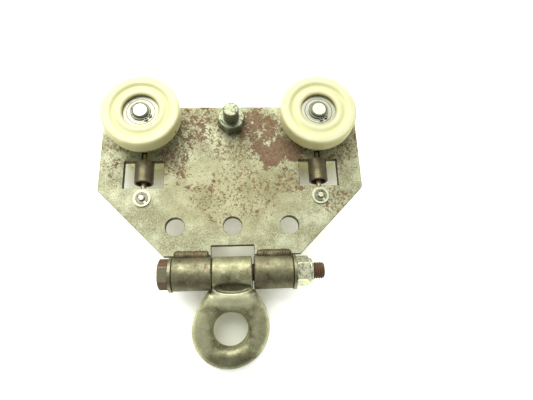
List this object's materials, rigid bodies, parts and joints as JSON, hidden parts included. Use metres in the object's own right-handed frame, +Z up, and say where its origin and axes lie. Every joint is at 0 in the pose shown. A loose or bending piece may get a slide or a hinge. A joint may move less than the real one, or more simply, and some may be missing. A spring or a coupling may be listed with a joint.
{
  "type": "zip line trolley",
  "caption": "Hanging trolley for an overhead track: a flat carrier plate between paired plastic wheels, upright guide rollers in its windows and a forged load eye hinged below.",
  "frame": {"origin": "middle of the four points where the wheels touch the track, in the carrier plate's middle plane", "axes": "+X along the track, +Y across it towards the rear wheels, +Z up; the load eye hangs down"},
  "size_m": [0.2, 0.051, 0.2119],
  "materials": {
    "plate_steel": "worn hot-rolled plate, pale grey with brown rust speckle",
    "axle_steel": "turned steel, dull zinc",
    "roller_steel": "turned steel browned by oil and rust",
    "pin_steel": "drawn pin, yellowish brown",
    "tube_steel": "oily dark steel with worn highlights",
    "washer_steel": "stained zinc",
    "nylon": "ivory moulded nylon, tread dirtier and yellower",
    "bearing_steel": "ground bearing steel",
    "ball_steel": "polished",
    "cage_brass": "pressed cage, satin",
    "shield_steel": "bright pressed shield",
    "spring_steel": "blackened spring steel",
    "zinc_steel": "dull zinc with a yellow-green cast",
    "nut_steel": "zinc, dark oily flats",
    "clip_zinc": "zinc",
    "weld_steel": "weld bead with a rusty upper edge",
    "rusty_steel": "brown rust over dark steel",
    "lock_nut_zinc": "stained bright zinc",
    "insert_nylon": "natural nylon",
    "forged_steel": "drop-forged, oiled, with brassy worn highlights"
  },
  "bodies": {
    "carriage": {"main_plate": "plate_steel", "axle_left": "axle_steel", "roller_pin_left": "pin_steel", "hinge_tube_left": "tube_steel", "hinge_washer_left": "washer_steel", "axle_right": "axle_steel", "roller_pin_right": "pin_steel", "hinge_tube_right": "tube_steel", "hinge_washer_right": "washer_steel", "bearing_inner_ring_front_left": "bearing_steel", "spacer_front_left": "axle_steel", "retaining_ring_front_left": "spring_steel", "bearing_inner_ring_front_right": "bearing_steel", "spacer_front_right": "axle_steel", "retaining_ring_front_right": "spring_steel", "bearing_inner_ring_rear_left": "bearing_steel", "spacer_rear_left": "axle_steel", "retaining_ring_rear_left": "spring_steel", "bearing_inner_ring_rear_right": "bearing_steel", "spacer_rear_right": "axle_steel", "retaining_ring_rear_right": "spring_steel", "centre_bolt": "zinc_steel", "centre_washer": "zinc_steel", "centre_nut": "nut_steel", "cross_pins": "clip_zinc", "cross_pin_washers": "clip_zinc", "cross_pin_clips": "spring_steel", "hinge_welds": "weld_steel", "hinge_bolt": "rusty_steel", "lock_nut": "lock_nut_zinc", "lock_nut_insert": "insert_nylon"},
    "wheel_front_left": {"wheel_front_left": "nylon", "bearing_outer_ring_front_left": "bearing_steel", "bearing_shields_front_left": "shield_steel"},
    "ball_cage_front_left": {"bearing_cage_front_left": "cage_brass", "bearing_balls_front_left": "ball_steel"},
    "wheel_front_right": {"wheel_front_right": "nylon", "bearing_outer_ring_front_right": "bearing_steel", "bearing_shields_front_right": "shield_steel"},
    "ball_cage_front_right": {"bearing_cage_front_right": "cage_brass", "bearing_balls_front_right": "ball_steel"},
    "wheel_rear_left": {"wheel_rear_left": "nylon", "bearing_outer_ring_rear_left": "bearing_steel", "bearing_shields_rear_left": "shield_steel"},
    "ball_cage_rear_left": {"bearing_cage_rear_left": "cage_brass", "bearing_balls_rear_left": "ball_steel"},
    "wheel_rear_right": {"wheel_rear_right": "nylon", "bearing_outer_ring_rear_right": "bearing_steel", "bearing_shields_rear_right": "shield_steel"},
    "ball_cage_rear_right": {"bearing_cage_rear_right": "cage_brass", "bearing_balls_rear_right": "ball_steel"},
    "guide_roller_left": {"guide_roller_left": "roller_steel"},
    "guide_roller_right": {"guide_roller_right": "roller_steel"},
    "load_eye": {"load_eye": "forged_steel"}
  },
  "joints": [
    {"name": "wheel_spin_front_left", "type": "hinge", "parent": "carriage", "child": "wheel_front_left", "pos_m": [-0.06675, -0.018, 0.029], "axis": [0, 1, 0], "continuous": true},
    {"name": "cage_spin_front_left", "type": "hinge", "parent": "carriage", "child": "ball_cage_front_left", "pos_m": [-0.06675, -0.018, 0.029], "axis": [0, 1, 0], "continuous": true},
    {"name": "wheel_spin_front_right", "type": "hinge", "parent": "carriage", "child": "wheel_front_right", "pos_m": [0.06675, -0.018, 0.029], "axis": [0, 1, 0], "continuous": true},
    {"name": "cage_spin_front_right", "type": "hinge", "parent": "carriage", "child": "ball_cage_front_right", "pos_m": [0.06675, -0.018, 0.029], "axis": [0, 1, 0], "continuous": true},
    {"name": "wheel_spin_rear_left", "type": "hinge", "parent": "carriage", "child": "wheel_rear_left", "pos_m": [-0.06675, 0.018, 0.029], "axis": [0, 1, 0], "continuous": true},
    {"name": "cage_spin_rear_left", "type": "hinge", "parent": "carriage", "child": "ball_cage_rear_left", "pos_m": [-0.06675, 0.018, 0.029], "axis": [0, 1, 0], "continuous": true},
    {"name": "wheel_spin_rear_right", "type": "hinge", "parent": "carriage", "child": "wheel_rear_right", "pos_m": [0.06675, 0.018, 0.029], "axis": [0, 1, 0], "continuous": true},
    {"name": "cage_spin_rear_right", "type": "hinge", "parent": "carriage", "child": "ball_cage_rear_right", "pos_m": [0.06675, 0.018, 0.029], "axis": [0, 1, 0], "continuous": true},
    {"name": "roller_spin_left", "type": "hinge", "parent": "carriage", "child": "guide_roller_left", "pos_m": [-0.06675, 0, -0.0116], "axis": [0, 0, 1], "continuous": true},
    {"name": "roller_spin_right", "type": "hinge", "parent": "carriage", "child": "guide_roller_right", "pos_m": [0.06675, 0, -0.0116], "axis": [0, 0, 1], "continuous": true},
    {"name": "eye_swing", "type": "hinge", "parent": "carriage", "child": "load_eye", "pos_m": [0, 0, -0.089], "axis": [1, 0, 0], "range_deg": [-147, 114]}
  ],
  "couplings": [
    {"joint": "cage_spin_front_left", "follows": "wheel_spin_front_left", "ratio": 0.619},
    {"joint": "cage_spin_front_right", "follows": "wheel_spin_front_right", "ratio": 0.619},
    {"joint": "cage_spin_rear_left", "follows": "wheel_spin_rear_left", "ratio": 0.619},
    {"joint": "cage_spin_rear_right", "follows": "wheel_spin_rear_right", "ratio": 0.619}
  ]
}
